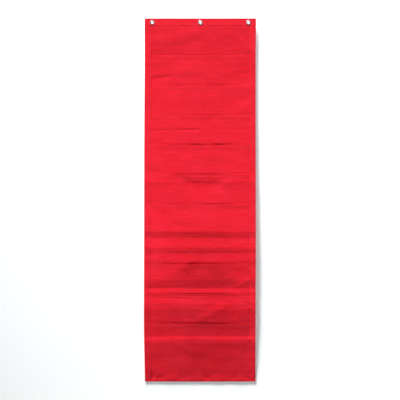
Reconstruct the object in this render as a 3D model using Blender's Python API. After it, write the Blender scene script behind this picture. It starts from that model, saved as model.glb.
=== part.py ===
# Storage pocket chart of coated nylon: a tall back panel with ten file pockets sewn to it
# like shingles, a folded header, bound edges and three metal grommets to hang it by.
# Metres, +Z up. The front faces -Y and the wall is the plane y = 0.
# The origin is the middle of the centre hanging hole, on the wall.

import math

import bmesh
import bpy

# Cloth and sewing
CLOTH_THICK = 0.0004
LAYER_GAP = 0.0003  # clearance between two layers, and from a layer to a thread
THREAD_DIAMETER = 0.0006
STITCH_INSET = 0.002  # from a folded or hemmed edge to its row of stitches

# Chart
CHART_WIDTH = 0.356
HEADER_DROP = 0.120  # top edge to the first pocket's mouth
HEADER_BAND = 0.024  # depth of the band folded over the top edge
BINDING_WIDTH = 0.020  # side bindings, measured in from the edge
EDGE_STITCH_INSET = 0.0105  # side bindings' second row of stitches, from the edge
BOTTOM_BINDING = 0.010

# Pockets
POCKET_COUNT = 10
POCKET_PITCH = 0.095
POCKET_DEPTH = 0.178  # mouth to bottom seam
SEAM_ALLOWANCE = 0.006  # cloth left below a bottom seam
MOUTH_HEM = 0.010
HEM_STEP = 0.001  # height over which the hem's second layer starts
MOUTH_GAP = 0.011  # how far an empty pocket stands open in the middle
MOUTH_RETURN = 0.045  # width over which a pocket closes towards each side seam
LAYER_RAMP = 0.008  # height over which a layer climbs over the edge of another
GAP_POWER = 1.3  # how late up its height a pocket opens
RETURN_BENDS = 3  # bends across a mouth's return
CURVE_BENDS = 6  # bends up a pocket's curve

# Folds left by the packing, as the hung cloth keeps them. Each pair is how far down the
# chart and how far forward the cloth lies there.
FOLD_DEPTH = 0.005
FOLD_SHARES = (
    (0.0, 0.0),
    (0.023, 0.0),
    (0.036, 0.45),
    (0.09, 0.2),
    (0.134, 0.3),
    (0.157, 0.0),
    (0.182, 0.3),
    (0.292, 0.35),
    (0.307, 0.1),
    (0.317, 0.3),
    (0.362, 0.35),
    (0.423, 0.3),
    (0.434, 0.38),
    (0.4545, 0.05),
    (0.472, 0.3),
    (0.58, 0.75),
    (0.601, 0.05),
    (0.627, 0.7),
    (0.648, 0.3),
    (0.674, 0.65),
    (0.707, 0.35),
    (0.741, 0.0),
    (0.757, 0.75),
    (0.765, 0.65),
    (0.787, 1.0),
    (0.803, 0.9),
    (0.836, 0.35),
    (0.875, 0.1),
    (0.889, 0.7),
    (0.94, 0.35),
    (1.0, 0.0),
)

# Grommets, each an eyelet closed over a washer
GROMMET_DROP = 0.0125  # top edge to the middle of a hole
GROMMET_INSET = 0.0245  # side edge to the middle of an outer hole
HOLE_DIAMETER = 0.007
BARREL_WALL = 0.0004
FLANGE_DIAMETER = 0.0144
FLANGE_THICK = 0.0012
FLANGE_BEVEL = 0.0006
LIP_DIAMETER = 0.0108
LIP_THICK = 0.0005
LIP_BEVEL = 0.0002
WASHER_DIAMETER = 0.0136
WASHER_THICK = 0.0006
TURN_STEPS = 24
CUT_OVERRUN = 0.002

# Colours, as linear red, green and blue
NYLON_RED = (0.66, 0.014, 0.026)
NYLON_RED_DEEP = (0.58, 0.012, 0.022)
THREAD_RED = (0.50, 0.010, 0.018)
STEEL_GREY = (0.74, 0.74, 0.76)
WASHER_GREY = (0.62, 0.62, 0.64)
NYLON_ROUGHNESS = 0.45
THREAD_ROUGHNESS = 0.7
METAL_ROUGHNESS = 0.25
SMOOTH_ANGLE = math.radians(35)

# Worked out from the sizes above
LAYER = CLOTH_THICK + LAYER_GAP
THREAD_RADIUS = THREAD_DIAMETER / 2
HALF_WIDTH = CHART_WIDTH / 2
PANEL_HALF = HALF_WIDTH - LAYER  # the bindings close round the panels' side edges
BINDING_INNER = HALF_WIDTH - BINDING_WIDTH
CLOSE_X = BINDING_INNER - STITCH_INSET  # where a pocket starts to stand open
GROMMET_X = HALF_WIDTH - GROMMET_INSET
LAST = POCKET_COUNT - 1
TOP = GROMMET_DROP
BOTTOM_SEAM = BOTTOM_BINDING - STITCH_INSET  # also closes the last pocket
CHART_HEIGHT = HEADER_DROP + LAST * POCKET_PITCH + POCKET_DEPTH + BOTTOM_SEAM
BOTTOM = TOP - CHART_HEIGHT
LAYERS_DEEP = math.ceil((POCKET_DEPTH + SEAM_ALLOWANCE) / POCKET_PITCH)
WASHER_BACK = LIP_THICK + LAYER_GAP
PANEL_BACK = WASHER_BACK + WASHER_THICK + LAYER_GAP + LAYER  # back panel's wall side
BARREL_RADIUS = HOLE_DIAMETER / 2 + BARREL_WALL
CLOTH_HOLE_RADIUS = BARREL_RADIUS + LAYER_GAP


def clear_scene():
    for thing in list(bpy.data.objects):
        bpy.data.objects.remove(thing, do_unlink=True)


def finish(name, colour, roughness, metallic=0.0):
    """A plain surface with the piece's own colour."""
    material = bpy.data.materials.new(name)
    material.use_nodes = True
    shader = material.node_tree.nodes["Principled BSDF"]
    shader.inputs["Base Color"].default_value = (*colour, 1.0)
    shader.inputs["Roughness"].default_value = roughness
    shader.inputs["Metallic"].default_value = metallic
    return material


def place(thing, material, parent):
    """Puts a new object in the scene, with its material and under its parent."""
    bpy.context.scene.collection.objects.link(thing)
    thing.data.materials.append(material)
    thing.parent = parent
    return thing


def mesh_object(name, built):
    """An object from a finished bmesh, facing out and smooth but for its edges."""
    bmesh.ops.recalc_face_normals(built, faces=built.faces)
    mesh = bpy.data.meshes.new(name)
    built.to_mesh(mesh)
    built.free()
    mesh.shade_smooth()
    mesh.set_sharp_from_angle(angle=SMOOTH_ANGLE)
    return bpy.data.objects.new(name, mesh)


def split(built, corners):
    """Two triangles, cut so that both sides of a twisted piece of cloth keep their distance."""
    if abs(corners[0].co.x) > abs(corners[1].co.x):
        corners = corners[1:] + corners[:1]
    a, b, c, d = corners
    built.faces.new((a, b, c))
    built.faces.new((a, c, d))


def lofted(name, rings, twisted=False):
    """A closed solid through sections of equally many points, capped at both ends."""
    built = bmesh.new()
    rows = [[built.verts.new(point) for point in ring] for ring in rings]
    count = len(rows[0])
    for lower, upper in zip(rows, rows[1:]):
        for i in range(count):
            j = (i + 1) % count
            corners = (lower[i], lower[j], upper[j], upper[i])
            if twisted:
                split(built, corners)
            else:
                built.faces.new(corners)
    built.faces.new(rows[0])
    built.faces.new(reversed(rows[-1]))
    return mesh_object(name, built)


def turned(name, profile, location):
    """A ring spun from a closed profile of radius and distance from the wall."""
    built = bmesh.new()
    corners = [built.verts.new((radius, 0, out)) for radius, out in profile]
    sides = [built.edges.new((a, b)) for a, b in zip(corners, corners[1:] + corners[:1])]
    bmesh.ops.spin(
        built,
        geom=corners + sides,
        cent=(0, 0, 0),
        axis=(0, 0, 1),
        angle=math.tau,
        steps=TURN_STEPS,
        use_merge=True,
    )
    thing = mesh_object(name, built)
    thing.location = location
    thing.rotation_euler.x = math.pi / 2  # the profile's height now runs to the front
    return thing


def thread(name, points):
    """One row of stitches, drawn as a single run of thread."""
    curve = bpy.data.curves.new(name, "CURVE")
    curve.dimensions = "3D"
    curve.bevel_depth = THREAD_RADIUS
    curve.bevel_resolution = 0
    curve.use_fill_caps = True
    line = curve.splines.new("POLY")
    line.points.add(len(points) - 1)
    for spot, point in zip(line.points, points):
        spot.co = (*point, 1.0)
    return bpy.data.objects.new(name, curve)


def ramp(value):
    return min(max(value, 0.0), 1.0)


def mouth_z(k):
    return TOP - HEADER_DROP - k * POCKET_PITCH


def seam_z(k):
    return mouth_z(k) - POCKET_DEPTH


def lower_edge_z(k):
    """A pocket's cut edge, which on the last one lies inside the bottom binding."""
    return BOTTOM + LAYER if k == LAST else seam_z(k) - SEAM_ALLOWANCE


def fold(z):
    """How far the folds bring the hung cloth forward at this height."""
    down = (TOP - z) / CHART_HEIGHT
    for (start, near), (end, far) in zip(FOLD_SHARES, FOLD_SHARES[1:]):
        if down <= end:
            along = ramp((down - start) / (end - start))
            return FOLD_DEPTH * (near + (far - near) * along)
    return 0.0


def fold_heights():
    return [TOP - down * CHART_HEIGHT for down, _ in FOLD_SHARES]


def heights(low, high, extra=()):
    """The heights at which a piece bends, from its low end to its high end, none too close."""
    found = [low]
    for z in sorted((*fold_heights(), *extra)):
        if found[-1] + LAYER_GAP < z < high - LAYER_GAP:
            found.append(z)
    return [*found, high]


def layers_behind(k, z):
    """Layers that pocket k lies over: the back panel, and each pocket that it covers."""
    return 1 + sum(ramp((z - lower_edge_z(j)) / LAYER_RAMP + 1) for j in range(k))


def side_close(x):
    """One across a pocket's middle, falling smoothly to nothing at its side seams."""
    share = ramp((CLOSE_X - abs(x)) / MOUTH_RETURN)
    return share * share * (3 - 2 * share)


def opening(height):
    """How far a pocket stands open at this height over its seam."""
    return MOUTH_GAP * ramp(height / POCKET_DEPTH) ** GAP_POWER


def panel_out(z):
    """Distance from the wall to the back panel's wall side."""
    return PANEL_BACK + fold(z)


def pocket_out(k, x, z):
    """Distance from the wall to the wall side of pocket k."""
    stand = sum(opening(z - seam_z(j)) for j in range(k + 1))
    return panel_out(z) + LAYER * layers_behind(k, z) + side_close(x) * stand


def pocket_front(k, x, z):
    return pocket_out(k, x, z) + CLOTH_THICK


def hem_inner(k, x, z):
    """How much thicker the mouth's turned-in hem makes the pocket."""
    return LAYER * side_close(x) * ramp((z - mouth_z(k) + MOUTH_HEM) / HEM_STEP)


def pocket_columns():
    """Places across a pocket: its edges, the bends of its returns and its middle."""
    bends = [CLOSE_X - MOUTH_RETURN * step / RETURN_BENDS for step in range(RETURN_BENDS + 1)]
    right = [*sorted(bends), PANEL_HALF]
    return [-x for x in reversed(right)] + [0.0] + right


def pocket_heights(k):
    """Every height at which pocket k bends, with a few more up its curve."""
    mouth = mouth_z(k)
    steps = [seam_z(k) + POCKET_DEPTH * step / CURVE_BENDS for step in range(CURVE_BENDS)]
    hem = [mouth - MOUTH_HEM, mouth - MOUTH_HEM + HEM_STEP]
    over = [lower_edge_z(k - 1) - LAYER_RAMP, lower_edge_z(k - 1)] if k else []
    return heights(lower_edge_z(k), mouth, (*steps, *hem, *over))


def sheet_ring(columns, z, back, front):
    """A flat section of cloth at one height, from its wall side and its front side."""
    wall_side = [(x, -back(x), z) for x in columns]
    front_side = [(x, -front(x), z) for x in reversed(columns)]
    return wall_side + front_side


def pocket(k):
    columns = pocket_columns()
    rings = [
        sheet_ring(
            columns,
            z,
            lambda x: pocket_out(k, x, z) - hem_inner(k, x, z),
            lambda x: pocket_front(k, x, z),
        )
        for z in pocket_heights(k)
    ]
    return lofted(f"pocket_{k + 1:02d}", rings, twisted=True)


def back_panel():
    columns = (-PANEL_HALF, PANEL_HALF)
    rings = [
        sheet_ring(columns, z, lambda x: panel_out(z), lambda x: panel_out(z) + CLOTH_THICK)
        for z in heights(BOTTOM + LAYER, TOP - LAYER)
    ]
    return lofted("back_panel", rings)


def binding_front(z):
    """Distance from the wall to the inner side of a side binding's front leg."""
    over_pockets = ramp((mouth_z(0) - z) / LAYER_RAMP + 1)
    return panel_out(z) + LAYER * (1 + LAYERS_DEEP * over_pockets)


def side_heights():
    low = BOTTOM + BOTTOM_BINDING + LAYER_GAP
    high = TOP - HEADER_BAND - LAYER_GAP
    return heights(low, high, (mouth_z(0), mouth_z(0) + LAYER_RAMP))


def side_binding(name, side):
    """A strip folded round one side edge of the back panel and the pockets."""
    rings = []
    for z in side_heights():
        back = panel_out(z) - LAYER
        front = binding_front(z)
        section = (
            (BINDING_INNER, back),
            (HALF_WIDTH, back),
            (HALF_WIDTH, front + CLOTH_THICK),
            (BINDING_INNER, front + CLOTH_THICK),
            (BINDING_INNER, front),
            (HALF_WIDTH - CLOTH_THICK, front),
            (HALF_WIDTH - CLOTH_THICK, back + CLOTH_THICK),
            (BINDING_INNER, back + CLOTH_THICK),
        )
        rings.append([(side * x, -out, z) for x, out in section])
    return lofted(name, rings)


def edge_band(name, edge, depth, layers):
    """A strip folded round the top or bottom edge, over this many layers."""
    inward = 1 if edge == BOTTOM else -1
    inner = edge + inward * depth
    web = edge + inward * CLOTH_THICK

    def section(x):
        back_edge = panel_out(edge) - LAYER
        back_inner = panel_out(inner) - LAYER
        front_edge = panel_out(edge) + LAYER * layers
        front_inner = panel_out(inner) + LAYER * layers
        outline = (
            (inner, back_inner),
            (edge, back_edge),
            (edge, front_edge + CLOTH_THICK),
            (inner, front_inner + CLOTH_THICK),
            (inner, front_inner),
            (web, front_edge),
            (web, back_edge + CLOTH_THICK),
            (inner, back_inner + CLOTH_THICK),
        )
        return [(x, -out, z) for z, out in outline]

    return lofted(name, [section(-HALF_WIDTH), section(HALF_WIDTH)])


def grommet_places():
    return {"left": -GROMMET_X, "centre": 0.0, "right": GROMMET_X}


def hole_cutter():
    """Three plugs that cut the hanging holes through the header's cloth."""
    reach = PANEL_BACK + LAYER * 2 + CUT_OVERRUN
    built = bmesh.new()
    for x in grommet_places().values():
        plug = bmesh.ops.create_cone(
            built,
            cap_ends=True,
            segments=TURN_STEPS,
            radius1=CLOTH_HOLE_RADIUS,
            radius2=CLOTH_HOLE_RADIUS,
            depth=reach * 2,
        )
        for corner in plug["verts"]:
            corner.co = (x + corner.co.x, -corner.co.z, corner.co.y)
    cutter = mesh_object("hanging_hole_cutter", built)
    cutter.hide_render = True
    cutter.display_type = "WIRE"
    bpy.context.scene.collection.objects.link(cutter)
    return cutter


def cut_holes(cloth, cutter):
    cut = cloth.modifiers.new("hanging holes", "BOOLEAN")
    cut.operation = "DIFFERENCE"
    cut.object = cutter


def eyelet(name, x):
    """Barrel through the cloth, flange on the front and lip rolled over the washer."""
    hole = HOLE_DIAMETER / 2
    lip = LIP_DIAMETER / 2
    flange = FLANGE_DIAMETER / 2
    flange_back = PANEL_BACK + LAYER * 2
    flange_front = flange_back + FLANGE_THICK
    profile = (
        (hole, LIP_BEVEL),
        (hole + LIP_BEVEL, 0.0),
        (lip - LIP_BEVEL, 0.0),
        (lip, LIP_BEVEL),
        (lip, LIP_THICK),
        (BARREL_RADIUS, LIP_THICK),
        (BARREL_RADIUS, flange_back),
        (flange, flange_back),
        (flange, flange_front - FLANGE_BEVEL),
        (flange - FLANGE_BEVEL, flange_front),
        (hole + FLANGE_BEVEL, flange_front),
        (hole, flange_front - FLANGE_BEVEL),
    )
    return turned(name, profile, (x, 0.0, 0.0))


def washer(name, x):
    inner = CLOTH_HOLE_RADIUS
    outer = WASHER_DIAMETER / 2
    front = WASHER_BACK + WASHER_THICK
    profile = ((inner, WASHER_BACK), (outer, WASHER_BACK), (outer, front), (inner, front))
    return turned(name, profile, (x, 0.0, 0.0))


def thread_out(surface_out):
    """Distance from the wall to a thread that lies on a surface."""
    return surface_out + LAYER_GAP + THREAD_RADIUS


def header_thread():
    z = TOP - HEADER_BAND + STITCH_INSET
    y = -thread_out(panel_out(z) + LAYER + CLOTH_THICK)
    end = HALF_WIDTH - STITCH_INSET
    return thread("header_thread", [(-end, y, z), (end, y, z)])


def bottom_thread():
    z = BOTTOM + BOTTOM_SEAM
    y = -thread_out(panel_out(z) + LAYER * 2 + CLOTH_THICK)
    end = HALF_WIDTH - STITCH_INSET
    return thread("bottom_seam_thread", [(-end, y, z), (end, y, z)])


def side_thread(name, x):
    points = [(x, -thread_out(binding_front(z) + CLOTH_THICK), z) for z in side_heights()]
    return thread(name, points)


def hem_thread(k):
    z = mouth_z(k) - MOUTH_HEM + STITCH_INSET
    columns = [x for x in pocket_columns() if abs(x) < PANEL_HALF]
    points = [(x, -thread_out(pocket_front(k, x, z)), z) for x in columns]
    return thread(f"pocket_hem_thread_{k + 1:02d}", points)


def seam_thread(k):
    """The run of a pocket's bottom seam that shows on the chart's back."""
    z = seam_z(k)
    y = -(panel_out(z) - LAYER_GAP - THREAD_RADIUS)
    return thread(f"pocket_seam_thread_{k + 1:02d}", [(-CLOSE_X, y, z), (CLOSE_X, y, z)])


def main():
    clear_scene()
    red = finish("red coated nylon", NYLON_RED, NYLON_ROUGHNESS)
    deep_red = finish("red binding tape", NYLON_RED_DEEP, NYLON_ROUGHNESS)
    thread_red = finish("red sewing thread", THREAD_RED, THREAD_ROUGHNESS)
    steel = finish("nickel plated eyelet", STEEL_GREY, METAL_ROUGHNESS, 1.0)
    washer_steel = finish("nickel plated washer", WASHER_GREY, METAL_ROUGHNESS, 1.0)
    chart = bpy.data.objects.new("pocket_chart", None)
    bpy.context.scene.collection.objects.link(chart)

    cutter = hole_cutter()
    panel = place(back_panel(), red, chart)
    header = place(edge_band("header_band", TOP, HEADER_BAND, 1), red, chart)
    for cloth in (panel, header):
        cut_holes(cloth, cutter)
    place(edge_band("bottom_edge_binding", BOTTOM, BOTTOM_BINDING, 2), deep_red, chart)
    for k in range(POCKET_COUNT):
        place(pocket(k), red, chart)
        place(hem_thread(k), thread_red, chart)
        if k < LAST:
            place(seam_thread(k), thread_red, chart)
    for word, side in (("left", -1), ("right", 1)):
        place(side_binding(f"{word}_edge_binding", side), deep_red, chart)
        inner_row = side * (BINDING_INNER + STITCH_INSET)
        outer_row = side * (HALF_WIDTH - EDGE_STITCH_INSET)
        place(side_thread(f"{word}_seam_thread", inner_row), thread_red, chart)
        place(side_thread(f"{word}_edge_thread", outer_row), thread_red, chart)
    place(header_thread(), thread_red, chart)
    place(bottom_thread(), thread_red, chart)
    for word, x in grommet_places().items():
        place(eyelet(f"grommet_eyelet_{word}", x), steel, chart)
        place(washer(f"grommet_washer_{word}", x), washer_steel, chart)


main()
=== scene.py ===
import math

import bmesh
import bpy
import numpy as np
from mathutils import Matrix, Vector


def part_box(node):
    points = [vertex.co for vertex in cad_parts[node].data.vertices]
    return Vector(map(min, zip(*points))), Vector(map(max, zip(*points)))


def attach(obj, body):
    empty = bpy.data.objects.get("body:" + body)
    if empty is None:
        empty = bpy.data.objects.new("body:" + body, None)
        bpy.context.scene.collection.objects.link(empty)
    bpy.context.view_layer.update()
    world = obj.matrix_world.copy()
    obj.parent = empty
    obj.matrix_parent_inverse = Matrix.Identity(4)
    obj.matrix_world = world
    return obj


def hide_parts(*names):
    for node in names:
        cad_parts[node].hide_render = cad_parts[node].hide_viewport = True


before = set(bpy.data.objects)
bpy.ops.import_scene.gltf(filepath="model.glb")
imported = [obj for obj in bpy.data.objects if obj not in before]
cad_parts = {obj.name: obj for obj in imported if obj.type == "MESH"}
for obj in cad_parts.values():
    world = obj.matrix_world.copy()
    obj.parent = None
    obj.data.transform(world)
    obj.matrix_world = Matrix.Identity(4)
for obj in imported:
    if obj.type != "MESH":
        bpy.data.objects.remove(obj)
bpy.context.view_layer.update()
print("frame loaded:", len(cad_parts), "nodes")

# places on the chart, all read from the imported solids
holeWords = ("left", "centre", "right")
pocketNames = sorted(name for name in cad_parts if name[:7] == "pocket_" and name[7:].isdigit())
lastPocket = len(pocketNames) - 1
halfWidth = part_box("header_band")[1].x
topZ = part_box("header_band")[1].z
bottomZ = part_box("bottom_edge_binding")[0].z
height = topZ - bottomZ
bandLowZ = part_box("header_band")[0].z
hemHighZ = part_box("bottom_edge_binding")[1].z
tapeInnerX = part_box("right_edge_binding")[0].x
buttGap = 0.0001  # between the ends of the side tapes and the bands
tapeHighZ = bandLowZ - buttGap
tapeLowZ = hemHighZ + buttGap
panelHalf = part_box("back_panel")[1].x
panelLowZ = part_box("back_panel")[0].z
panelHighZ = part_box("back_panel")[1].z
washerFront = -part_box("grommet_washer_centre")[0].y
washerBack = -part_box("grommet_washer_centre")[1].y
mouthZ = [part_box(name)[1].z for name in pocketNames]
lowEdgeZ = [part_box(name)[0].z for name in pocketNames]


def middle(node):
    low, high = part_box(node)
    return (low + high) / 2


seamZ = [middle(f"pocket_seam_thread_{k + 1:02d}").z for k in range(lastPocket)]
seamZ.append(middle("bottom_seam_thread").z)
hemSeamZ = [middle(f"pocket_hem_thread_{k + 1:02d}").z for k in range(lastPocket + 1)]
eyeletX = {word: middle(f"grommet_eyelet_{word}").x for word in holeWords}
tapeRowsX = [middle(f"right_{row}_thread").x for row in ("seam", "edge")]

cloth = {
    "thick": 0.00025,
    "layer": 0.00042,  # from one layer's wall side to the next one's
    "climb": 0.03,  # height over which a layer climbs over another's edge
    "gap": 0.0001,  # between the washers and the cloth
    "rowStep": 0.002,
    "columnStep": 0.004,
    "panelRowStep": 0.0025,
    "panelColumnStep": 0.0045,
    "turnRows": 9,
    "smoothAngle": math.radians(50),
}
# the panel's wall side, with the header's back leg between it and the washers
panelBack = washerFront + cloth["gap"] + cloth["layer"]

# The folds that the packing left, down the whole chart. Each pair is how far down and how
# far forward the cloth lies there, in shares of the height and of the depth.
hang = {
    "depth": 0.0086,
    "soften": 0.0006,
    "step": 0.0003,
    "wander": 0.0007,
    "settledFrom": 0.002,  # above the header band's lower edge
    "settledOver": 0.03,  # from there down to where the folds are full
    # near the sides they are flatter, by the first share high up and the second low down
    "flatter": (0.12, 0.24),
    "lowFrom": 0.7,
    "lowOver": 0.15,
    "sideFrom": 0.7,
    "sideOver": 0.25,
    "profile": (
        (0.0000, 0.000),
        (0.0204, 0.005),
        (0.0397, -0.008),
        (0.0617, 0.011),
        (0.0865, 0.013),
        (0.1031, -0.008),
        (0.1169, -0.009),
        (0.1472, -0.003),
        (0.1582, -0.018),
        (0.1858, -0.038),
        (0.2244, 0.029),
        (0.2657, 0.065),
        (0.2850, 0.137),
        (0.3071, 0.199),
        (0.3484, 0.264),
        (0.3897, 0.402),
        (0.4283, 0.481),
        (0.4504, 0.651),
        (0.4614, 0.650),
        (0.5110, 0.731),
        (0.5469, 0.909),
        (0.5860, 1.078),
        (0.6025, 0.993),
        (0.6295, 1.182),
        (0.6378, 1.167),
        (0.6461, 1.112),
        (0.6654, 1.164),
        (0.6778, 1.126),
        (0.7178, 1.202),
        (0.7415, 1.096),
        (0.7552, 1.209),
        (0.7630, 1.208),
        (0.7853, 1.385),
        (0.8004, 1.392),
        (0.8363, 1.165),
        (0.8459, 1.103),
        (0.8740, 0.941),
        (0.8826, 1.006),
        (0.8914, 0.981),
        (0.9190, 0.703),
        (0.9548, 0.405),
        (0.9879, 0.074),
        (1.0000, 0.000),
    ),
}

# Single folds: from and to, each across (from -1 to 1) and down in shares, then how far
# forward in millimetres, and how far it reaches above and below its line, in millimetres.
singleFolds = (
    (-0.8, 0.072, 0.02, 0.026, 0.55, 34, 26),
    (0.1, 0.034, 0.72, 0.05, 0.25, 14, 20),
    (0.75, 0.054, 0.93, 0.09, 0.4, 5, 16),
    (-0.3, 0.099, 0.58, 0.099, 0.15, 4, 4),
    (-0.9, 0.165, -0.55, 0.159, -0.5, 5, 12),
    (0.68, 0.151, 0.93, 0.15, -0.22, 3, 6),
    (0.86, 0.235, 0.68, 0.263, 0.2, 3, 14),
    (-0.44, 0.3075, 0.0, 0.306, -0.35, 3, 5),
    (-0.88, 0.309, -0.5, 0.308, -0.18, 3, 4),
    (0.15, 0.307, 0.92, 0.304, -0.12, 3, 5),
    (-0.22, 0.3478, 0.72, 0.3468, -0.1, 3, 8),
    (-0.42, 0.434, -0.16, 0.451, -0.45, 7, 30),
    (-0.3, 0.4535, 0.4, 0.4545, -1.1, 15, 60),
    (-0.22, 0.4545, 0.38, 0.4548, -0.4, 5, 20),
    (0.6, 0.45, 0.84, 0.456, -0.15, 4, 6),
    (-0.88, 0.516, -0.34, 0.577, -0.25, 7, 7),
    (-0.7, 0.683, -0.62, 0.693, 0.2, 4, 4),
    (-0.3, 0.679, -0.18, 0.7, 0.3, 4, 5),
    (0.16, 0.682, 0.27, 0.7, 0.25, 4, 4),
    (-0.9, 0.735, -0.05, 0.665, 0.65, 18, 26),
    (0.1, 0.67, 0.9, 0.737, 0.7, 18, 26),
    (0.88, 0.716, 0.62, 0.744, 0.25, 8, 5),
    (-0.88, 0.767, -0.18, 0.771, -0.2, 4, 4),
    (-0.08, 0.836, 0.47, 0.792, 0.95, 13, 24),
    (0.74, 0.77, 0.9, 0.836, 0.4, 8, 8),
    (-0.92, 0.741, -0.25, 0.7405, -0.14, 4, 8),
    (-1.0, 0.838, -0.3, 0.838, -1.1, 70, 150),
    (-0.92, 0.8385, -0.3, 0.8385, -0.22, 4, 10),
    (-0.5, 0.9, 0.1, 0.925, 0.3, 14, 16),
    (0.2, 0.945, 0.75, 0.92, 0.3, 14, 14),
)

# how wide each empty pocket stands open, how deep the layers behind fall at its mouth, and
# how much painted shade darkens the mouth's edge, where the open pocket lies in shade
mouths = {
    "gaps": (0.0008, 0.0008, 0.0008, 0.0012, 0.0014, 0.0012, 0.0024, 0.0048, 0.002, 0.002),
    "dips": (0.0001, 0.0004, 0.0003, 0.0008, 0.0006, 0.0005, 0.0004, 0.0007, 0.0006, 0.0009),
    # painted shade along each mouth's edge, as strong as these shares
    "edgeDarkening": (1.1, 1.35, 1.4, 1.4, 1.5, 1.3, 1.3, 1.3, 1.3, 1.3),
    "mouthShadeReach": 0.002,
    "dipBelowMouth": 0.0015,
    "dipAbove": 0.0038,
    "dipBelow": 0.009,
    "unevenGap": 0.25,
    "gapPitch": 0.09,
    "unevenDip": 0.6,
    "dipPitch": 0.035,
    "closeX": 0.156,
    "returnWidth": 0.12,
    "power": 1.3,
    "hemDepth": 0.01,
    "hemClimb": 0.04,
    "hemHalf": 0.152,
    "hemEdge": 0.01,
    "hemNarrowFrom": 0.14,
    "hemTurnRows": 7,
}

# small unevenness: puckers along the side tapes and over the hem, then the cloth's own
puckers = {
    "sideReach": 0.006,
    "sideHeight": 0.00032,
    "sidePitch": 0.011,
    "sideShare": 0.3,
    "lowRightFrom": 0.62,
    "lowRightOver": 0.08,
    "hemReach": 0.03,
    "hemRise": 0.012,
    "hemHeight": 0.0011,
    "hemPitch": 0.013,
    "uneven": 0.0002,
    "unevenFrom": 0.6,
    "unevenOver": 0.3,
    "crinkle": 0.00004,
}

# just below the header band the cloth comes forward to its pressed-down edge
pressed = {"forward": 0.0004, "over": 0.0025, "fades": 0.07, "side": 0.004}

# how far the left and right edges leave a straight line, down the height
sway = {
    "down": (0.03, 0.1, 0.35, 0.6, 0.86, 1.0),
    "left": (0.0, -0.0003, 0.0012, 0.0011, 0.0018, -0.0009),
    "right": (0.0, -0.001, -0.001, -0.001, -0.0019, -0.0018),
}
sag = {"height": 0.0009, "ends": 0.04}


def ramp(value):
    return np.clip(value, 0.0, 1.0)


def smooth(value):
    share = ramp(value)
    return share * share * (3 - 2 * share)


def softNoise(a, b, seed):
    # random heights from -1 to 1 on a grid of whole numbers, with a smooth run between them
    size = 64
    table = np.random.default_rng(seed).uniform(-1.0, 1.0, (size, size))
    i = np.floor(a).astype(int)
    j = np.floor(b).astype(int)
    u = smooth(a - i)
    v = smooth(b - j)
    low = table[i % size, j % size] * (1 - u) + table[(i + 1) % size, j % size] * u
    high = table[i % size, (j + 1) % size] * (1 - u) + table[(i + 1) % size, (j + 1) % size] * u
    return low * (1 - v) + high * v


def softenedProfile():
    step = hang["step"]
    down = np.arange(-0.01, 1.01, step / height)
    shares = np.array(hang["profile"])
    out = hang["depth"] * np.interp(down, shares[:, 0], shares[:, 1])
    reach = int(4 * hang["soften"] / step)
    kernel = np.exp(-0.5 * (np.arange(-reach, reach + 1) * step / hang["soften"]) ** 2)
    return down, np.convolve(np.pad(out, reach, "edge"), kernel / kernel.sum(), "valid")


profileDown, profileOut = softenedProfile()


def singleFold(across, down, fold):
    x1, d1, x2, d2, forward, above, below = fold
    start = np.array((x1 * halfWidth, -d1 * height))
    run = np.array((x2 * halfWidth, -d2 * height)) - start
    length = math.hypot(*run)
    run /= length
    upward = -1 if run[0] < 0 else 1
    normal = upward * np.array((-run[1], run[0]))
    px = across * halfWidth - start[0]
    pz = -down * height - start[1]
    along = (px * run[0] + pz * run[1]) / length
    away = px * normal[0] + pz * normal[1]
    reach = np.where(away > 0, above, below) / 1000
    ends = smooth((along + 0.12) / 0.3) * smooth((1.12 - along) / 0.3)
    return forward / 1000 * np.exp(-((away / reach) ** 2)) * ends


def packedFolds(across, down):
    wander = hang["wander"] / height * softNoise(across * 2.3 + 7, down * 14 + 3, 5)
    out = np.interp(down + wander, profileDown, profileOut)
    high, low = hang["flatter"]
    flatter = high + (low - high) * smooth((down - hang["lowFrom"]) / hang["lowOver"])
    out = out * (1 - flatter * smooth((np.abs(across) - hang["sideFrom"]) / hang["sideOver"]))
    for fold in singleFolds:
        out = out + singleFold(across, down, fold)
    return out


def sidePuckers(x, z, across, down):
    # along the inner edges of the side tapes, the strongest low on the right
    side = np.exp(-(((np.abs(x) - tapeInnerX) / puckers["sideReach"]) ** 2))
    ripple = softNoise(z / puckers["sidePitch"], np.sign(x) * 5 + 9, 11)
    lowRight = smooth((down - puckers["lowRightFrom"]) / puckers["lowRightOver"]) * ramp(across * 2)
    return side * ripple * (puckers["sideShare"] + lowRight) * puckers["sideHeight"]


def hemPuckers(x, z):
    nearHem = smooth(1 - (z - hemHighZ) / puckers["hemReach"]) * ramp((z - bottomZ) / puckers["hemRise"])
    ripple = softNoise(x / puckers["hemPitch"] + 20, z / 0.05 + 4, 21)
    return nearHem * ripple * puckers["hemHeight"]


def unevenness(x, z, down):
    lower = smooth((down - puckers["unevenFrom"]) / puckers["unevenOver"])
    out = puckers["uneven"] * softNoise(x / 0.045 + 9, z / 0.03 + 5, 31)
    out = out + puckers["uneven"] * lower * softNoise(x / 0.06, z / 0.05, 41)
    out = out + puckers["crinkle"] * softNoise(x / 0.06 + 3 * z, z / 0.008, 43)
    return out + puckers["crinkle"] * softNoise(x / 0.03 + z / 0.03, z / 0.012, 47)


def drape(x, z):
    # how far the folds bring the hung cloth forward
    down = (topZ - z) / height
    across = x / halfWidth
    out = packedFolds(across, down) + sidePuckers(x, z, across, down)
    out = out + hemPuckers(x, z) + unevenness(x, z, down)
    below = bandLowZ - z
    edge = smooth(below / pressed["over"]) * smooth(1 - below / pressed["fades"])
    edge = edge * smooth((tapeInnerX - np.abs(x)) / pressed["side"])
    settled = smooth((below + hang["settledFrom"]) / hang["settledOver"])
    return out * settled + pressed["forward"] * edge


def sideClose(x):
    return smooth((mouths["closeX"] - np.abs(x)) / mouths["returnWidth"])


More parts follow.
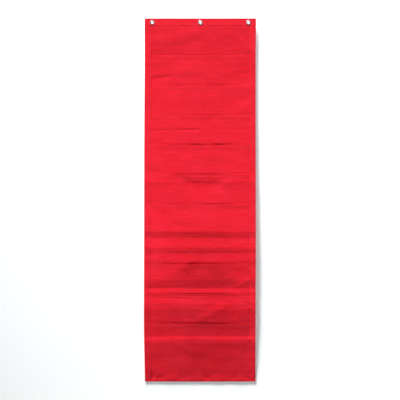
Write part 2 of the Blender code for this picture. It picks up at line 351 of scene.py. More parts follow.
def stand(k, x, z):
    # how far pocket k stands open at this place
    share = ramp((z - seamZ[k]) / (mouthZ[k] - seamZ[k])) ** mouths["power"]
    uneven = 1 + mouths["unevenGap"] * softNoise(x / mouths["gapPitch"] + k * 3.7, z * 0 + k, 51)
    return mouths["gaps"][k] * share * sideClose(x) * uneven


def dip(k, x, z):
    # how far the layers behind the mouth of pocket k fall back into it
    away = z - mouthZ[k] + mouths["dipBelowMouth"]
    reach = np.where(away > 0, mouths["dipAbove"], mouths["dipBelow"])
    uneven = 1 + mouths["unevenDip"] * softNoise(x / mouths["dipPitch"] + k * 5.1, z * 0 + k, 61)
    return mouths["dips"][k] * np.exp(-((away / reach) ** 2)) * sideClose(x) * uneven


def panelOut(x, z):
    out = panelBack + drape(x, z)
    for k in range(lastPocket + 1):
        out = out - dip(k, x, z)
    return out


def hemLift(k, x, z):
    # at its sides a closed mouth lies further forward, to leave room for its own hem
    start = smooth((z - mouthZ[k] + mouths["hemDepth"]) / mouths["hemClimb"] + 1)
    edge = ramp((mouths["hemHalf"] + mouths["hemEdge"] - np.abs(x)) / mouths["hemEdge"])
    return cloth["layer"] * (1 - sideClose(x)) * start * edge


def pocketOut(k, x, z):
    out = panelBack + drape(x, z) + cloth["layer"] + hemLift(k, x, z)
    for j in range(k):
        out = out + cloth["layer"] * smooth((z - lowEdgeZ[j]) / cloth["climb"] + 1)
    for j in range(k + 1):
        out = out + stand(j, x, z)
    for j in range(k + 1, lastPocket + 1):
        out = out - dip(j, x, z)
    return out


def tapeOut(x, z):
    # inner side of a side tape's front leg
    layers = 1 + sum(smooth((mouthZ[k] - z) / cloth["climb"] + 1) for k in (0, 1))
    return panelBack + drape(x, z) + cloth["layer"] * layers


def settle(x, out, z):
    # where a place on the flat chart is on the hung one
    down = (topZ - z) / height
    left = np.interp(down, sway["down"], sway["left"])
    right = np.interp(down, sway["down"], sway["right"])
    across = x / halfWidth
    moved = x + right * ramp(across) - left * ramp(-across)
    lowered = sag["height"] * softNoise(across * 2 + 3, down * 10.5 + 1, 71)
    fromEnds = smooth(np.minimum(down, 1 - down) / sag["ends"])
    return np.stack([moved, -out, z + lowered * fromEnds], axis=-1)


def steps(low, high, step):
    return np.linspace(low, high, max(2, round((high - low) / step) + 1))


def selectOnly(piece):
    bpy.ops.object.select_all(action="DESELECT")
    piece.select_set(True)
    bpy.context.view_layer.objects.active = piece


def applyModifiers(piece):
    selectOnly(piece)
    for modifier in list(piece.modifiers):
        bpy.ops.object.modifier_apply(modifier=modifier.name)


def dress(piece, nodes, material):
    # the piece takes this material and hangs from the root body, and the solids it stands for are hidden
    piece.data.materials.clear()
    piece.data.materials.append(material)
    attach(piece, "root")
    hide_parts(*nodes)


def clothSheet(name, places, edgeDarkening, flip=False, hole=None):
    # places is a grid of points, its rows up the cloth and its columns across
    rows, columns = places.shape[:2]
    index = np.arange(rows * columns).reshape(rows, columns)
    corners = [index[:-1, :-1], index[:-1, 1:], index[1:, 1:], index[1:, :-1]]
    faces = np.stack(corners[::-1] if flip else corners, axis=-1).reshape(-1, 4)
    mesh = bpy.data.meshes.new(name)
    mesh.from_pydata(places.reshape(-1, 3).tolist(), [], faces.tolist())
    up = np.linalg.norm(np.diff(places, axis=0), axis=-1).mean(axis=1)
    across = np.linalg.norm(np.diff(places, axis=1), axis=-1).mean(axis=0)
    v = np.concatenate([[0.0], np.cumsum(up)])
    u = np.concatenate([[0.0], np.cumsum(across)])
    grid = np.stack(np.meshgrid(u, v), axis=-1).reshape(-1, 2)
    layer = mesh.uv_layers.new(name="weave")
    layer.data.foreach_set("uv", grid[faces.reshape(-1)].astype(np.float32).reshape(-1))
    # how much darker the cloth is near its edges: painted shade along the pocket mouths, a darker tone
    # elsewhere
    edgeDarkeningLayer = mesh.attributes.new("edgeDarkening", "FLOAT", "POINT")
    edgeDarkeningLayer.data.foreach_set("value", edgeDarkening.reshape(-1).astype(np.float32))
    if hole:
        punchHoles(mesh, hole)
    piece = bpy.data.objects.new(name, mesh)
    bpy.context.scene.collection.objects.link(piece)
    solid = piece.modifiers.new("thickness", "SOLIDIFY")
    solid.thickness = cloth["thick"]
    solid.offset = 1.0
    applyModifiers(piece)
    bpy.ops.object.shade_smooth_by_angle(angle=cloth["smoothAngle"])
    return piece, (float(u[-1]), float(v[-1]))


# how much darker the cloth is near each edge, and how far in from it
darkEdges = {
    "panelSide": (0.15, 0.003),
    "headerTop": (0.8, 0.0018),
    "headerLow": (0.12, 0.0012),
    "hemLow": (0.4, 0.0015),
    "hemHigh": (0.15, 0.0012),
    "tapeOuter": (0.35, 0.003),
    "tapeInner": (0.15, 0.0012),
    "pocketSeam": (0.08, 0.0012),
}


def nearness(value, reach):
    return np.exp(-((value / reach) ** 2))


def darkEdge(edge, distance):
    share, reach = darkEdges[edge]
    return share * nearness(distance, reach)


class Value:
    # a socket that can be added, multiplied and compared, each step a Math node
    def __init__(self, graph, socket):
        self.graph = graph
        self.socket = socket

    def step(self, operation, *others):
        values = dict(enumerate((self, *others)))
        made = self.graph.node("ShaderNodeMath", {"operation": operation}, values)
        return Value(self.graph, made.outputs[0])

    def __add__(self, other):
        return self.step("ADD", other)

    def __radd__(self, other):
        return self.step("ADD", other)

    def __sub__(self, other):
        return self.step("SUBTRACT", other)

    def __rsub__(self, other):
        return self.step("MULTIPLY", -1.0).step("ADD", other)

    def __mul__(self, other):
        return self.step("MULTIPLY", other)

    def __rmul__(self, other):
        return self.step("MULTIPLY", other)

    def __truediv__(self, other):
        return self.step("DIVIDE", other)

    def sine(self):
        return self.step("SINE")

    def clamp(self):
        return self.step("MAXIMUM", 0.0).step("MINIMUM", 1.0)


class Graph:
    # the nodes of one material, or of the world
    def __init__(self, owner):
        owner.use_nodes = True
        self.tree = owner.node_tree
        self.tree.nodes.clear()

    def node(self, kind, settings, values):
        made = self.tree.nodes.new(kind)
        for key, setting in settings.items():
            setattr(made, key, setting)
        for key, value in values.items():
            if isinstance(value, Value):
                self.tree.links.new(value.socket, made.inputs[key])
            else:
                made.inputs[key].default_value = value
        return made

    def out(self, made, key):
        return Value(self, made.outputs[key])

    def noise(self, place, scale, detail=2.0):
        made = self.node("ShaderNodeTexNoise", {}, {"Vector": place, "Scale": scale, "Detail": detail})
        return self.out(made, "Fac")

    def stretched(self, place, scale):
        made = self.node("ShaderNodeVectorMath", {"operation": "MULTIPLY"}, {0: place, 1: scale})
        return self.out(made, "Vector")

    def blend(self, share, first, second):
        made = self.node("ShaderNodeMix", {"data_type": "RGBA"}, {"Factor": share, 6: first, 7: second})
        return Value(self, made.outputs[2])

    def bump(self, high, strength, distance):
        values = {"Height": high, "Strength": strength, "Distance": distance}
        return self.out(self.node("ShaderNodeBump", {}, values), "Normal")

    def surface(self, values):
        shader = self.node("ShaderNodeBsdfPrincipled", {}, values)
        self.node("ShaderNodeOutputMaterial", {}, {"Surface": self.out(shader, "BSDF")})

    def places(self):
        return self.out(self.node("ShaderNodeTexCoord", {}, {}), "Object")

    def weaveUv(self):
        made = self.node("ShaderNodeUVMap", {"uv_map": "weave"}, {})
        split = self.node("ShaderNodeSeparateXYZ", {}, {"Vector": self.out(made, "UV")})
        return self.out(split, "X"), self.out(split, "Y")

    def attribute(self, name):
        made = self.node("ShaderNodeAttribute", {"attribute_name": name}, {})
        return self.out(made, "Fac")


def colour(red, green, blue):
    return (red, green, blue, 1.0)


def nylonFinish(name, look):
    material = bpy.data.materials.new(name)
    graph = Graph(material)
    place = graph.places()
    u, v = graph.weaveUv()
    edgeDarkening = graph.attribute("edgeDarkening")
    broad = graph.noise(place, look["broadScale"])
    fine = graph.noise(place, look["fineScale"], 3.0)
    streaks = graph.noise(graph.stretched(place, look["streakScale"]), 1.0, 3.0)
    turn = math.tau / look["pitch"]
    warp = (u * turn).sine()
    weft = (v * turn).sine()
    weave = warp * weft
    # the tone wanders between deep and light: partly uneven dye, partly painted sheen in pinkish patches
    # and streaks
    shade = (0.3 * broad + 0.25 * fine + 0.45 * streaks - 0.5) * look["variation"] + 0.5
    tone = graph.blend(shade.clamp(), look["deep"], look["light"])
    # darker towards the edges; along the pocket mouths this is painted shade
    tone = graph.blend((edgeDarkening * look["darkEdgeShare"]).clamp(), tone, look["darkEdge"])
    tone = graph.blend((weave * 0.5 + 0.5) * look["weaveShade"], tone, look["deep"])
    rough = look["roughness"] + (fine - 0.5) * look["unevenRoughness"] + edgeDarkening * look["wornRoughness"]
    high = weave * 0.5 + fine * look["grain"]
    graph.surface(
        {
            "Base Color": tone,
            "Roughness": rough,
            "Normal": graph.bump(high, look["bump"], look["pitch"] * look["bumpDepth"]),
            "Specular IOR Level": look["specular"],
            "Sheen Weight": look["sheen"],
            "Sheen Roughness": look["sheenRoughness"],
            "Sheen Tint": look["light"],
        }
    )
    return material


nylonLook = {
    # light is paler and pinker than deep: painted sheen, along with the dye's own unevenness
    "light": colour(0.84, 0.0205, 0.044),
    "deep": colour(0.77, 0.011, 0.022),
    # the dark edge colour: painted shade along the pocket mouths, a darker tone along the other edges
    "darkEdge": colour(0.42, 0.008, 0.014),
    "broadScale": 9.0,
    "fineScale": 120.0,
    "streakScale": (26.0, 26.0, 130.0),
    "variation": 3.2,
    "pitch": 0.0007,
    "weaveShade": 0.12,
    "darkEdgeShare": 0.75,
    "roughness": 0.52,
    "unevenRoughness": 0.12,
    "wornRoughness": 0.06,
    "grain": 0.35,
    "bump": 0.18,
    "bumpDepth": 0.12,  # in shares of the pitch
    "specular": 0.07,
    "sheen": 0.02,
    "sheenRoughness": 0.4,
}
# a darker copy of the nylon for the back panel: painted shade, so the single-layer header lies darker
panelShadedLook = dict(
    nylonLook,
    light=colour(0.77, 0.0175, 0.038),
    deep=colour(0.7, 0.01, 0.02),
)
tapeLook = dict(
    nylonLook,
    light=colour(0.85, 0.02, 0.043),
    deep=colour(0.78, 0.0115, 0.023),
    pitch=0.0011,
    bump=0.25,
)


def threadFinish(name, look):
    material = bpy.data.materials.new(name)
    graph = Graph(material)
    place = graph.places()
    fine = graph.noise(place, look["fineScale"])
    split = graph.node("ShaderNodeSeparateXYZ", {}, {"Vector": place})
    twist = ((graph.out(split, "X") + graph.out(split, "Z")) * (math.tau / look["twist"])).sine()
    # paler where the twist stands high, darker in its grooves: painted shade in the grooves, over random
    # tone
    tone = graph.blend((fine * 0.6 + twist * 0.2 + 0.2).clamp(), look["deep"], look["light"])
    graph.surface(
        {
            "Base Color": tone,
            "Roughness": look["roughness"] + fine * look["unevenRoughness"],
            "Normal": graph.bump(twist, look["bump"], look["bumpDepth"]),
            "Specular IOR Level": look["specular"],
        }
    )
    return material


threadLook = {
    "light": colour(0.88, 0.034, 0.06),
    "deep": colour(0.7, 0.018, 0.034),
    "twist": 0.0006,
    "fineScale": 900.0,
    "roughness": 0.6,
    "unevenRoughness": 0.2,
    "bump": 0.3,
    "bumpDepth": 0.0001,
    "specular": 0.25,
}


def platedFinish(name, look):
    material = bpy.data.materials.new(name)
    graph = Graph(material)
    place = graph.places()
    fine = graph.noise(place, look["fineScale"], 4.0)
    broad = graph.noise(place, look["broadScale"])
    tone = graph.blend(broad, look["deep"], look["light"])
    graph.surface(
        {
            "Base Color": tone,
            "Metallic": 1.0,
            "Roughness": look["roughness"] + (fine - 0.5) * look["unevenRoughness"],
            "Normal": graph.bump(fine, look["bump"], look["bumpDepth"]),
        }
    )
    return material


eyeletLook = {
    "light": colour(0.3, 0.32, 0.33),
    "deep": colour(0.2, 0.22, 0.23),
    "fineScale": 700.0,
    "broadScale": 160.0,
    "roughness": 0.34,
    "unevenRoughness": 0.12,
    "bump": 0.06,
    "bumpDepth": 0.0001,
}
washerLook = dict(
    eyeletLook,
    light=colour(0.72, 0.72, 0.73),
    deep=colour(0.56, 0.56, 0.58),
)

nylon = nylonFinish("red coated nylon", nylonLook)
panelShadedNylon = nylonFinish("red coated nylon, back panel, painted darker", panelShadedLook)
tape = nylonFinish("red binding tape", tapeLook)
thread = threadFinish("red sewing thread", threadLook)
plated = platedFinish("nickel plate", eyeletLook)
washerPlate = platedFinish("dull nickel plate", washerLook)
print("finishes made")


def punchHoles(mesh, hole):
    # opens the cloth at each eyelet, and draws the cut edge in round the barrel
    built = bmesh.new()
    built.from_mesh(mesh)
    for x in eyeletX.values():
        centre = settle(np.array(x), np.array(0.0), np.array(0.0))
        inside = []
        for corner in built.verts:
            away = math.hypot(corner.co.x - centre[0], corner.co.z - centre[2])
            if away < hole["opened"]:
                inside.append(corner)
        bmesh.ops.delete(built, geom=inside, context="VERTS")
        for corner in built.verts:
            side = Vector((corner.co.x - centre[0], 0, corner.co.z - centre[2]))
            if corner.is_boundary and side.length < hole["reach"]:
                moved = side.normalized() * hole["radius"]
                corner.co.x = centre[0] + moved.x
                corner.co.z = centre[2] + moved.z
    built.to_mesh(mesh)
    built.free()


eyeletHole = {"radius": 0.0042, "opened": 0.0046, "reach": 0.0105}


def backPanel():
    xs = steps(-panelHalf, panelHalf, cloth["panelColumnStep"])
    zs = steps(panelLowZ, panelHighZ, cloth["panelRowStep"])
    xGrid, zGrid = np.meshgrid(xs, zs)
    edgeDarkening = darkEdge("panelSide", np.abs(xGrid) - panelHalf)
    places = settle(xGrid, panelOut(xGrid, zGrid), zGrid)
    piece, flat = clothSheet("backPanelCloth", places, edgeDarkening, hole=eyeletHole)
    dress(piece, ["back_panel"], panelShadedNylon)


def foldOver(low, high, outFront, outBack):
    # rows up the front leg, round the folded edge and down the back leg
    middleOut = (outFront + outBack) / 2
    radius = (outFront - outBack) / 2
    legs = steps(low, high - abs(radius), cloth["rowStep"])
    turn = np.linspace(0, math.pi, cloth["turnRows"])[1:-1]
    z = np.concatenate([legs, high - abs(radius) * (1 - np.sin(turn)), legs[::-1]])
    out = np.concatenate(
        [
            np.full(len(legs), outFront),
            middleOut + radius * np.cos(turn),
            np.full(len(legs), outBack),
        ]
    )
    return z, out


def headerBand():
    xs = steps(-halfWidth, halfWidth, cloth["columnStep"])
    back = cloth["thick"] - cloth["layer"]
    z, out = foldOver(bandLowZ, topZ - cloth["thick"], cloth["layer"], back)
    xGrid, zGrid = np.meshgrid(xs, z)
    offset = np.repeat(out[:, None], len(xs), axis=1)
    places = settle(xGrid, panelBack + drape(xGrid, zGrid) + offset, zGrid)
    edgeDarkening = darkEdge("headerTop", topZ - zGrid) + darkEdge("headerLow", zGrid - bandLowZ)
    piece, flat = clothSheet("headerBandCloth", places, edgeDarkening, hole=eyeletHole)
    dress(piece, ["header_band"], nylon)


def bottomBinding():
    xs = steps(-halfWidth, halfWidth, cloth["columnStep"])
    back = cloth["thick"] - cloth["layer"]
    z, out = foldOver(-hemHighZ, -bottomZ - cloth["thick"], cloth["layer"] * 2, back)
    xGrid, zGrid = np.meshgrid(xs, -z)
    offset = np.repeat(out[:, None], len(xs), axis=1)
    inner = np.clip(zGrid, bottomZ + 0.001, None)
    places = settle(xGrid, panelBack + drape(xGrid, inner) + offset, zGrid)
    edgeDarkening = darkEdge("hemLow", zGrid - bottomZ) + darkEdge("hemHigh", hemHighZ - zGrid)
    piece, flat = clothSheet("bottomBindingTape", places, edgeDarkening, flip=True)
    dress(piece, ["bottom_edge_binding"], tape)


tapeTurn = {"radius": 0.0008, "columnStep": 0.0022}


def sideBinding(word, side):
    # each row runs from the front leg's inner edge, round the side edge, to the back leg's
    zs = steps(tapeLowZ, tapeHighZ, cloth["rowStep"])
    edgeX = halfWidth - cloth["thick"]
    radius = tapeTurn["radius"]
    legs = steps(tapeInnerX, edgeX - radius, tapeTurn["columnStep"])
    turn = np.linspace(0, math.pi, cloth["turnRows"])[1:-1]
    x = np.concatenate([legs, edgeX - radius * (1 - np.sin(turn)), legs[::-1]])
    frontShare = np.concatenate([np.ones(len(legs)), (1 + np.cos(turn)) / 2, np.zeros(len(legs))])
    xGrid, zGrid = np.meshgrid(side * x, zs)
    front = tapeOut(xGrid, zGrid)
    back = panelBack + drape(xGrid, zGrid) - cloth["layer"] + cloth["thick"]
    out = back + (front - back) * frontShare
    places = settle(xGrid, out, zGrid)
    edgeDarkening = darkEdge("tapeOuter", halfWidth - np.abs(xGrid)) + darkEdge("tapeInner", np.abs(xGrid) - tapeInnerX)
    piece, flat = clothSheet(f"{word}EdgeTape", places, edgeDarkening, flip=side < 0)
    dress(piece, [f"{word}_edge_binding"], tape)


def pocketRows(k):
    # rows up the pocket, over its mouth and down the turned-in hem
    top = mouthZ[k] - cloth["thick"]
    radius = (cloth["layer"] - cloth["thick"]) / 2
    face = steps(lowEdgeZ[k], top - radius, cloth["rowStep"])
    hem = steps(mouthZ[k] - mouths["hemDepth"], top - radius, cloth["rowStep"])
    turn = np.linspace(0, math.pi, mouths["hemTurnRows"])[1:-1]
    z = np.concatenate([face, top - radius * (1 - np.sin(turn)), hem[::-1]])
    back = np.concatenate([np.zeros(len(face)), (1 - np.cos(turn)) / 2, np.ones(len(hem))])
    return z, back


def pocket(k):
    xs = steps(-panelHalf, panelHalf, cloth["columnStep"])
    z, back = pocketRows(k)
    xGrid, zGrid = np.meshgrid(xs, z)
    backGrid = np.repeat(back[:, None], len(xs), axis=1)
    narrow = (mouths["hemHalf"] - mouths["hemNarrowFrom"]) / (panelHalf - mouths["hemNarrowFrom"])
    beyond = np.maximum(np.abs(xGrid) - mouths["hemNarrowFrom"], 0)
    xGrid = np.sign(xGrid) * (np.abs(xGrid) - beyond * (1 - narrow) * smooth(backGrid))
    out = pocketOut(k, xGrid, zGrid) - (cloth["layer"] - cloth["thick"]) * backGrid
    places = settle(xGrid, out, zGrid)
    # painted shade along the mouth's edge, where the open pocket lies in shade
    edgeDarkening = mouths["edgeDarkening"][k] * nearness(mouthZ[k] - zGrid, mouths["mouthShadeReach"])
    edgeDarkening = edgeDarkening + darkEdge("pocketSeam", mouthZ[k] - mouths["hemDepth"] - zGrid)
    piece, flat = clothSheet(f"pocketCloth{k + 1:02d}", places, edgeDarkening)
    dress(piece, [pocketNames[k]], nylon)


backPanel()
headerBand()
bottomBinding()
for word, side in (("left", -1), ("right", 1)):
    sideBinding(word, side)
for k in range(lastPocket + 1):
    pocket(k)
print("cloth hung")


stitch = {
    "pitch": 0.005,
    "length": 0.0036,
    "radius": 0.00027,
    "sides": 6,
    "cuts": (-0.28, 0.0, 0.28),
    "taper": 0.45,
    "sink": 0.00034,  # how far its ends dip under its middle
    "above": 0.0001,  # middle of the thread over the cloth
    "lineStep": 0.003,
    "aimOver": 0.001,  # a stitch points from this far behind it on its line to this far ahead
    "bandEnd": 0.003,  # from the ends of a row to the ends of the cloth
    "tapeEnd": 0.002,
    "hemEnd": 0.0015,
    "smoothAngle": math.radians(60),
}


def stitchBead():
    # one stitch, lying along X with its back to +Z, its ends going down into the cloth
    bpy.ops.object.select_all(action="DESELECT")
    bpy.ops.mesh.primitive_cylinder_add(
        vertices=stitch["sides"], radius=stitch["radius"], depth=stitch["length"]
    )
    bead = bpy.context.object
    bead.rotation_euler.y = math.pi / 2
    bpy.ops.object.transform_apply(location=True, rotation=True, scale=True)
    bpy.ops.object.mode_set(mode="EDIT")
    for share in stitch["cuts"]:
        bpy.ops.mesh.select_all(action="SELECT")
        place = (share * stitch["length"], 0, 0)
        bpy.ops.mesh.bisect(plane_co=place, plane_no=(1, 0, 0))
    bpy.ops.object.mode_set(mode="OBJECT")
    half = stitch["length"] / 2
    for corner in bead.data.vertices:
        along = corner.co.x / half
        slim = 1 - stitch["taper"] * along**4
        corner.co.y *= slim
        corner.co.z = corner.co.z * slim - stitch["sink"] * along**2
    points = np.array([corner.co[:] for corner in bead.data.vertices])
    sides = [list(face.vertices) for face in bead.data.polygons]
    bpy.data.objects.remove(bead)
    return points, sides


beadPoints, beadSides = stitchBead()


def stitchRow(name, line, outward, nodes):
    # copies of the stitch along a line of points, with the cloth's outward side given
    line = np.asarray(line)
    gaps = np.linalg.norm(np.diff(line, axis=0), axis=1)
    run = np.concatenate([[0.0], np.cumsum(gaps)])
    count = int(run[-1] / stitch["pitch"])
    centres = (np.arange(count) + 0.5) * run[-1] / count

    def placesAt(distances):
        return np.stack([np.interp(distances, run, line[:, i]) for i in range(3)], axis=1)

    along = placesAt(centres + stitch["aimOver"]) - placesAt(centres - stitch["aimOver"])
    along /= np.linalg.norm(along, axis=1, keepdims=True)
    outward = np.array(outward, float)
    up = outward - along * (along @ outward)[:, None]
    up /= np.linalg.norm(up, axis=1, keepdims=True)
    across = np.cross(up, along)
    turned = (
        beadPoints[None, :, 0:1] * along[:, None]
        + beadPoints[None, :, 1:2] * across[:, None]
        + (beadPoints[None, :, 2:3] + stitch["above"]) * up[:, None]
    )
    places = (placesAt(centres)[:, None] + turned).reshape(-1, 3)
    size = len(beadPoints)
    faces = [[corner + i * size for corner in side] for i in range(count) for side in beadSides]
    mesh = bpy.data.meshes.new(name)
    mesh.from_pydata(places.tolist(), [], faces)
    piece = bpy.data.objects.new(name, mesh)
    bpy.context.scene.collection.objects.link(piece)
    selectOnly(piece)
    bpy.ops.object.mode_set(mode="EDIT")
    bpy.ops.mesh.select_all(action="SELECT")
    bpy.ops.mesh.normals_make_consistent(inside=False)
    bpy.ops.object.mode_set(mode="OBJECT")
    bpy.ops.object.shade_smooth_by_angle(angle=stitch["smoothAngle"])
    dress(piece, nodes, thread)
    return count


toFront = (0, -1, 0)
toWall = (0, 1, 0)


def rowAcross(z, half, out):
    xs = steps(-half, half, stitch["lineStep"])
    zs = np.full(len(xs), z)
    return settle(xs, out(xs, zs), zs)


def rowDown(x, low, high, out):
    zs = steps(low, high, stitch["lineStep"])
    xs = np.full(len(zs), x)
    return settle(xs, out(xs, zs), zs)


def frontOf(out, layers=0.0):
    def surface(x, z):
        return out(x, z) + cloth["thick"] + layers * cloth["layer"]

    return surface


def draped(x, z):
    return panelBack + drape(x, z)


def behindBand(x, z):
    return draped(x, z) - cloth["layer"]


def sewBand(word, z, layers, node):
    # the row through a folded band, in front and on the chart's back
    half = halfWidth - stitch["bandEnd"]
    front = rowAcross(z, half, frontOf(draped, layers))
    made = stitchRow(f"{word}Stitches", front, toFront, [node])
    return made + stitchRow(f"{word}BackStitches", rowAcross(z, half, behindBand), toWall, [])


def sewTape(word, side, row, x):
    low = tapeLowZ + stitch["tapeEnd"]
    high = tapeHighZ - stitch["tapeEnd"]
    front = rowDown(side * x, low, high, frontOf(tapeOut))
    back = rowDown(side * x, low, high, behindBand)
    name = word + row.capitalize()
    made = stitchRow(f"{name}Stitches", front, toFront, [f"{word}_{row}_thread"])
    return made + stitchRow(f"{name}BackStitches", back, toWall, [])


def sewPocket(k):
    def surface(x, z):
        return pocketOut(k, x, z)

    number = f"{k + 1:02d}"
    line = rowAcross(hemSeamZ[k], tapeInnerX - stitch["hemEnd"], frontOf(surface))
    made = stitchRow(f"hemStitches{number}", line, toFront, [f"pocket_hem_thread_{number}"])
    if k < lastPocket:
        line = rowAcross(seamZ[k], mouths["closeX"], panelOut)
        made += stitchRow(f"seamStitches{number}", line, toWall, [f"pocket_seam_thread_{number}"])
    return made


made = sewBand("header", middle("header_thread").z, 1, "header_thread")
made += sewBand("bottom", middle("bottom_seam_thread").z, 2, "bottom_seam_thread")
for word, side in (("left", -1), ("right", 1)):
    for row, x in zip(("seam", "edge"), tapeRowsX):
        made += sewTape(word, side, row, x)
for k in range(lastPocket + 1):
    made += sewPocket(k)
print("stitches sewn:", made)

eyelet = {
    "sides": 64,
    "flange": (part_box("grommet_eyelet_centre")[1].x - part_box("grommet_eyelet_centre")[0].x) / 2,
    "back": panelBack + cloth["layer"] + cloth["thick"] + 0.00003,  # the flange's back
    "rim": 0.0004,
    "crown": ((0.0005, 0.00025), (0.0008, 0.00015), (0.0007, 0.0), (0.0007, -0.00015), (0.001, -0.0004)),
    "bore": 0.0035,
    "wall": 0.0004,
    "lip": 0.0054,
    "lipThick": 0.0005,
    "bevel": 0.00015,
    "bevelAngle": math.radians(30),
    "smoothAngle": math.radians(50),
    "merge": 0.00003,
}
washer = {
    "sides": 64,
    "outer": (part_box("grommet_washer_centre")[1].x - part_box("grommet_washer_centre")[0].x) / 2,
    "inner": 0.0042,
    "bevel": 0.0001,
}


def disc(sides, radius, front, back):
    # a round plate that lies between these two distances from the wall
    bpy.ops.object.select_all(action="DESELECT")
    bpy.ops.mesh.primitive_cylinder_add(
        vertices=sides,
        radius=radius,
        depth=front - back,
        end_fill_type="NGON",
        location=(0, -(front + back) / 2, 0),
        rotation=(math.pi / 2, 0, 0),
    )
    plate = bpy.context.object
    bpy.ops.object.transform_apply(location=True, rotation=True, scale=True)
    return plate


def pickCaps(plate, sides):
    # into edit mode, with only the caps that face these ways along Y selected
    bpy.ops.object.mode_set(mode="EDIT")
    bpy.ops.mesh.select_mode(type="FACE")
    bpy.ops.mesh.select_all(action="DESELECT")
    bpy.ops.object.mode_set(mode="OBJECT")
    for face in plate.data.polygons:
        face.select = len(face.vertices) > 4 and any(face.normal.y * side > 0.9 for side in sides)
    bpy.ops.object.mode_set(mode="EDIT")


def push(distance):
    bpy.ops.mesh.extrude_region_move(TRANSFORM_OT_translate={"value": (0, distance, 0)})


def closeMesh(plate, bevel):
    bpy.ops.mesh.select_all(action="SELECT")
    bpy.ops.mesh.remove_doubles(threshold=eyelet["merge"])
    bpy.ops.mesh.normals_make_consistent(inside=False)
    bpy.ops.object.mode_set(mode="OBJECT")
    rounded = plate.modifiers.new("rolled edges", "BEVEL")
    rounded.width = bevel
    rounded.segments = 2
    rounded.limit_method = "ANGLE"
    rounded.angle_limit = eyelet["bevelAngle"]
    applyModifiers(plate)
    bpy.ops.object.shade_smooth_by_angle(angle=eyelet["smoothAngle"])


def pressEyelet():
    barrel = eyelet["bore"] + eyelet["wall"]
    piece = disc(eyelet["sides"], eyelet["flange"], eyelet["back"] + eyelet["rim"], eyelet["back"])
    # front: a crown that rises from the rim and rolls down into the bore
    pickCaps(piece, (-1,))
    for inset, rise in eyelet["crown"]:
        bpy.ops.mesh.inset(thickness=inset, depth=rise)
    front = eyelet["back"] + eyelet["rim"] + sum(rise for inset, rise in eyelet["crown"])
    push(front)
    bpy.ops.mesh.delete(type="FACE")
    bpy.ops.object.mode_set(mode="OBJECT")
    # back: the barrel through the cloth, then the lip rolled over the washer
    pickCaps(piece, (1,))
    bpy.ops.mesh.inset(thickness=eyelet["flange"] - barrel, depth=0.0)
    push(eyelet["back"] - eyelet["lipThick"])
    push(0.0)
    share = eyelet["lip"] / barrel
    bpy.ops.transform.resize(value=(share, 1, share), center_override=(0, -eyelet["lipThick"], 0))
    push(eyelet["lipThick"])
    bpy.ops.mesh.inset(thickness=eyelet["lip"] - eyelet["bore"], depth=0.0)
    bpy.ops.mesh.delete(type="FACE")
    closeMesh(piece, eyelet["bevel"])
    return piece


def cutWasher():
    piece = disc(washer["sides"], washer["outer"], washerFront, washerBack)
    pickCaps(piece, (-1, 1))
    bpy.ops.mesh.inset(thickness=washer["outer"] - washer["inner"], depth=0.0)
    bpy.ops.mesh.bridge_edge_loops()
    closeMesh(piece, washer["bevel"])
    return piece


def setAtHoles(model, pieceName, node, material):
    # the model is copied to the three holes, each copy with a mesh of its own
    for word in holeWords:
        piece = bpy.data.objects.new(f"{pieceName}{word.capitalize()}", model.data.copy())
        bpy.context.scene.collection.objects.link(piece)
        piece.data.transform(Matrix.Translation((eyeletX[word], 0, 0)))
        dress(piece, [f"{node}_{word}"], material)
    bpy.data.objects.remove(model)


setAtHoles(pressEyelet(), "eyelet", "grommet_eyelet", plated)
setAtHoles(cutWasher(), "washer", "grommet_washer", washerPlate)
print("eyelets and washers set")

centre = Vector((0, 0, (topZ + bottomZ) / 2))

photo = {
    "distance": 2.6,
    "viewHeight": 1.28,  # height of the chart's plane that fills the frame
    "aimX": -0.001,
    "sensor": 36,
    "clip": (0.05, 60),
}


def makeCamera():
    camera = bpy.data.cameras.new("camera")
    camera.sensor_width = photo["sensor"]
    camera.lens = photo["sensor"] / photo["viewHeight"] * photo["distance"]
    camera.clip_start, camera.clip_end = photo["clip"]
    holder = bpy.data.objects.new("camera", camera)
    bpy.context.scene.collection.objects.link(holder)
    holder.location = (photo["aimX"], -photo["distance"], centre.z)
    holder.rotation_euler = (math.pi / 2, 0, 0)
    bpy.context.scene.camera = holder


stageLook = {
    "wallBehind": (-0.0005, 0.0065),  # at the chart's bottom and top
    "wallHalf": 6.0,
    "floorBelow": 1.8,
    "wallColours": (colour(0.95, 0.95, 0.95), colour(0.97, 0.97, 0.97)),
    "wallGrain": 300.0,
    # low on the wall and high on it, bluish to balance the red light off the chart's back
    "glow": (colour(0.15, 0.18, 0.184), colour(0.3, 0.366, 0.372)),
    "floorColours": (colour(0.6, 0.6, 0.595), colour(0.66, 0.66, 0.655)),
    "floorGrain": 40.0,
    "floorGlow": colour(0.55, 0.55, 0.55),
}


def cameraShare(graph):
    # one for rays from the camera, from mirrors and through glass
    rays = graph.node("ShaderNodeLightPath", {}, {})
    seen = graph.out(rays, "Is Camera Ray") + graph.out(rays, "Is Glossy Ray")
    return (seen + graph.out(rays, "Is Transmission Ray")).clamp()


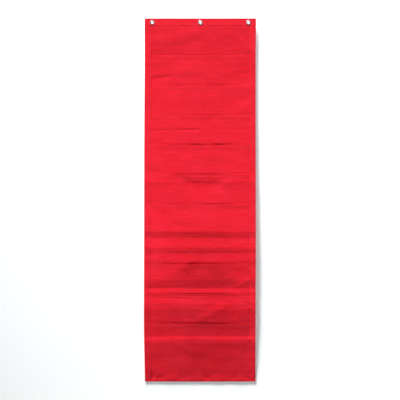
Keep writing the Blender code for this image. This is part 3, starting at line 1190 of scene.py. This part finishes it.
def wallFinish():
    # white to the camera but for the chart's shadow, and open from behind
    material = bpy.data.materials.new("white wall")
    graph = Graph(material)
    place = graph.places()
    fine = graph.noise(place, stageLook["wallGrain"])
    paint = graph.blend(fine, *stageLook["wallColours"])
    low, high = stageLook["glow"]
    split = graph.node("ShaderNodeSeparateXYZ", {}, {"Vector": place})
    share = (graph.out(split, "Y") / height * -1.0 + 0.5).clamp()
    glow = graph.blend(share, high, low)
    values = {
        "Base Color": paint,
        "Roughness": 0.9,
        "Specular IOR Level": 0.0,
        "Emission Color": graph.blend(cameraShare(graph), colour(0, 0, 0), glow),
        "Emission Strength": 1.0,
    }
    shader = graph.node("ShaderNodeBsdfPrincipled", {}, values)
    clear = graph.node("ShaderNodeBsdfTransparent", {}, {})
    back = graph.out(graph.node("ShaderNodeNewGeometry", {}, {}), "Backfacing")
    shares = {0: back, 1: graph.out(shader, "BSDF"), 2: graph.out(clear, "BSDF")}
    mix = graph.node("ShaderNodeMixShader", {}, shares)
    graph.node("ShaderNodeOutputMaterial", {}, {"Surface": graph.out(mix, "Shader")})
    return material


def floorFinish():
    # pale to the camera, but it throws little light up at the chart
    material = bpy.data.materials.new("pale floor")
    graph = Graph(material)
    fine = graph.noise(graph.places(), stageLook["floorGrain"], 4.0)
    graph.surface(
        {
            "Base Color": graph.blend(fine, *stageLook["floorColours"]),
            "Roughness": 0.8,
            "Specular IOR Level": 0.1,
            "Emission Color": graph.blend(cameraShare(graph), colour(0, 0, 0), stageLook["floorGlow"]),
            "Emission Strength": 1.0,
        }
    )
    return material


def setStage():
    half = stageLook["wallHalf"]
    bpy.ops.object.select_all(action="DESELECT")
    low, high = stageLook["wallBehind"]
    bpy.ops.mesh.primitive_plane_add(size=2 * half, location=(0, (low + high) / 2, centre.z))
    wall = bpy.context.object
    wall.name = "backWall"
    wall.visible_shadow = False  # the rear lamp shines through it on the chart's back
    wall.rotation_euler.x = math.pi / 2 - (high - low) / height
    wall.data.materials.append(wallFinish())
    bpy.ops.mesh.primitive_plane_add(size=2 * half, location=(0, 0, bottomZ - stageLook["floorBelow"]))
    floor = bpy.context.object
    floor.name = "paleFloor"
    floor.data.materials.append(floorFinish())


lamps = {
    "key": {
        "kind": "SPOT",
        "at": (-2.3, -1.53, 8.37),
        "aim": 0.35,
        "soft": 1.1,
        "power": 16000.0,
        "cone": 23.0,
    },
    "fill": {"kind": "AREA", "at": (0.9, -2.6, -0.4), "soft": 2.2, "power": 4.0},
    "rear": {"kind": "AREA", "at": (-1.6, 1.3, 1.3), "soft": 0.8, "power": 46.0},
}


def setLamp(name, lamp):
    light = bpy.data.lights.new(name, lamp["kind"])
    light.energy = lamp["power"]
    if lamp["kind"] == "SPOT":
        light.shadow_soft_size = lamp["soft"]
        light.spot_size = math.radians(lamp["cone"])
        light.spot_blend = 1.0
    else:
        light.shape = "DISK"
        light.size = lamp["soft"]
    holder = bpy.data.objects.new(name, light)
    bpy.context.scene.collection.objects.link(holder)
    holder.location = centre + Vector(lamp["at"])
    aim = centre + Vector((0, 0, lamp.get("aim", 0.0)))
    holder.rotation_euler = (aim - holder.location).to_track_quat("-Z", "Y").to_euler()


# how strongly the white surroundings light the chart, and how bright the camera sees them
surroundings = {"lighting": 0.12, "seen": 1.0}


def setWorld():
    world = bpy.data.worlds.new("studio")
    bpy.context.scene.world = world
    graph = Graph(world)
    shares = {0: cameraShare(graph)}
    for place, use in enumerate(("lighting", "seen"), 1):
        values = {"Color": colour(1, 1, 1), "Strength": surroundings[use]}
        shares[place] = graph.out(graph.node("ShaderNodeBackground", {}, values), "Background")
    mix = graph.node("ShaderNodeMixShader", {}, shares)
    graph.node("ShaderNodeOutputWorld", {}, {"Surface": graph.out(mix, "Shader")})


makeCamera()
setStage()
for name, lamp in lamps.items():
    setLamp(name, lamp)
setWorld()
bpy.context.scene.view_settings.view_transform = "Standard"
print("stage, lamps and camera set")
